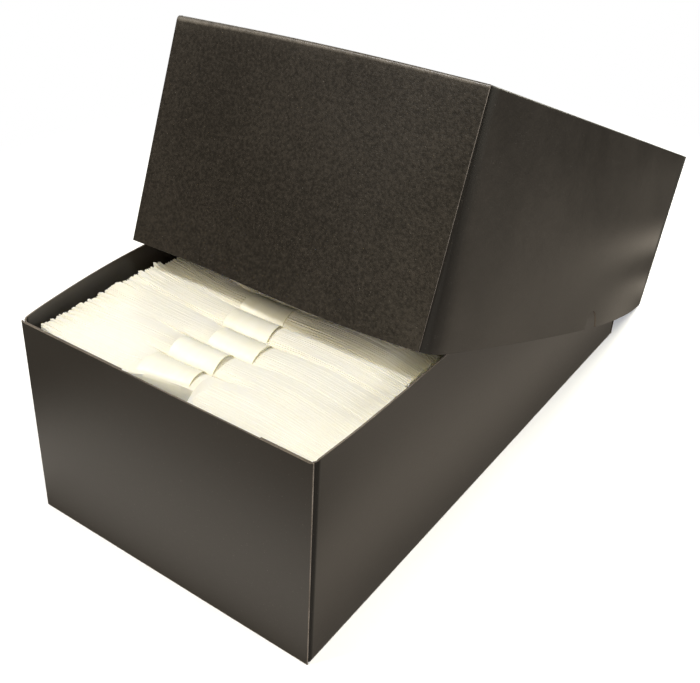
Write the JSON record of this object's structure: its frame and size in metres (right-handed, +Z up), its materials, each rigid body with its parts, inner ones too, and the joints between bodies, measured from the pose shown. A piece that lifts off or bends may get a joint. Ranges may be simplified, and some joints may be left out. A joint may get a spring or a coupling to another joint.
{
  "type": "glassine storage box",
  "caption": "Long folded-board box with an open-topped tray, a full-depth lift-off lid and a filed row of paper-banded glassine envelope bundles.",
  "frame": {"origin": "middle of the tray's underside, on the surface that the box stands on", "axes": "+Z up; +Y along the box from its uncovered front end to the end that the lid has slid back over; +X across the box, to the right seen from the front end"},
  "size_m": [0.2024, 0.4525, 0.2328],
  "materials": {
    "tray_board": "satin",
    "lid_board": "satin",
    "glassine": "satin",
    "band_paper": "satin"
  },
  "bodies": {
    "tray": {"tray": "tray_board"},
    "lid": {"lid": "lid_board"},
    "bundle_01": {"bundle_01": "glassine", "band_01": "band_paper"},
    "bundle_02": {"bundle_02": "glassine", "band_02": "band_paper"},
    "bundle_03": {"bundle_03": "glassine", "band_03": "band_paper"},
    "bundle_04": {"bundle_04": "glassine", "band_04": "band_paper"},
    "bundle_05": {"bundle_05": "glassine", "band_05": "band_paper"},
    "bundle_06": {"bundle_06": "glassine", "band_06": "band_paper"},
    "bundle_07": {"bundle_07": "glassine", "band_07": "band_paper"},
    "bundle_08": {"bundle_08": "glassine", "band_08": "band_paper"},
    "bundle_09": {"bundle_09": "glassine", "band_09": "band_paper"},
    "bundle_10": {"bundle_10": "glassine", "band_10": "band_paper"},
    "bundle_11": {"bundle_11": "glassine", "band_11": "band_paper"},
    "bundle_12": {"bundle_12": "glassine", "band_12": "band_paper"},
    "bundle_13": {"bundle_13": "glassine", "band_13": "band_paper"},
    "bundle_14": {"bundle_14": "glassine", "band_14": "band_paper"},
    "bundle_15": {"bundle_15": "glassine", "band_15": "band_paper"},
    "bundle_16": {"bundle_16": "glassine", "band_16": "band_paper"},
    "bundle_17": {"bundle_17": "glassine", "band_17": "band_paper"},
    "bundle_18": {"bundle_18": "glassine", "band_18": "band_paper"},
    "bundle_19": {"bundle_19": "glassine", "band_19": "band_paper"},
    "bundle_20": {"bundle_20": "glassine", "band_20": "band_paper"}
  },
  "joints": [
    {"name": "lid_lift", "type": "slide", "parent": "tray", "child": "lid", "axis": [0, 0, 1], "range_m": [0, 0.13]},
    {"name": "bundle_01_lift", "type": "slide", "parent": "tray", "child": "bundle_01", "axis": [0, 0, 1], "range_m": [0, 0.12]},
    {"name": "bundle_02_lift", "type": "slide", "parent": "tray", "child": "bundle_02", "axis": [0, 0, 1], "range_m": [0, 0.12]},
    {"name": "bundle_03_lift", "type": "slide", "parent": "tray", "child": "bundle_03", "axis": [0, 0, 1], "range_m": [0, 0.12]},
    {"name": "bundle_04_lift", "type": "slide", "parent": "tray", "child": "bundle_04", "axis": [0, 0, 1], "range_m": [0, 0.016]},
    {"name": "bundle_05_lift", "type": "slide", "parent": "tray", "child": "bundle_05", "axis": [0, 0, 1], "range_m": [0, 0.023]},
    {"name": "bundle_06_lift", "type": "slide", "parent": "tray", "child": "bundle_06", "axis": [0, 0, 1], "range_m": [0, 0.069]},
    {"name": "bundle_07_lift", "type": "slide", "parent": "tray", "child": "bundle_07", "axis": [0, 0, 1], "range_m": [0, 0.112]},
    {"name": "bundle_08_lift", "type": "slide", "parent": "tray", "child": "bundle_08", "axis": [0, 0, 1], "range_m": [0, 0.1055]},
    {"name": "bundle_09_lift", "type": "slide", "parent": "tray", "child": "bundle_09", "axis": [0, 0, 1], "range_m": [0, 0.099]},
    {"name": "bundle_10_lift", "type": "slide", "parent": "tray", "child": "bundle_10", "axis": [0, 0, 1], "range_m": [0, 0.093]},
    {"name": "bundle_11_lift", "type": "slide", "parent": "tray", "child": "bundle_11", "axis": [0, 0, 1], "range_m": [0, 0.0875]},
    {"name": "bundle_12_lift", "type": "slide", "parent": "tray", "child": "bundle_12", "axis": [0, 0, 1], "range_m": [0, 0.0815]},
    {"name": "bundle_13_lift", "type": "slide", "parent": "tray", "child": "bundle_13", "axis": [0, 0, 1], "range_m": [0, 0.0755]},
    {"name": "bundle_14_lift", "type": "slide", "parent": "tray", "child": "bundle_14", "axis": [0, 0, 1], "range_m": [0, 0.07]},
    {"name": "bundle_15_lift", "type": "slide", "parent": "tray", "child": "bundle_15", "axis": [0, 0, 1], "range_m": [0, 0.064]},
    {"name": "bundle_16_lift", "type": "slide", "parent": "tray", "child": "bundle_16", "axis": [0, 0, 1], "range_m": [0, 0.0585]},
    {"name": "bundle_17_lift", "type": "slide", "parent": "tray", "child": "bundle_17", "axis": [0, 0, 1], "range_m": [0, 0.0525]},
    {"name": "bundle_18_lift", "type": "slide", "parent": "tray", "child": "bundle_18", "axis": [0, 0, 1], "range_m": [0, 0.0465]},
    {"name": "bundle_19_lift", "type": "slide", "parent": "tray", "child": "bundle_19", "axis": [0, 0, 1], "range_m": [0, 0.041]},
    {"name": "bundle_20_lift", "type": "slide", "parent": "tray", "child": "bundle_20", "axis": [0, 0, 1], "range_m": [0, 0.035]}
  ]
}
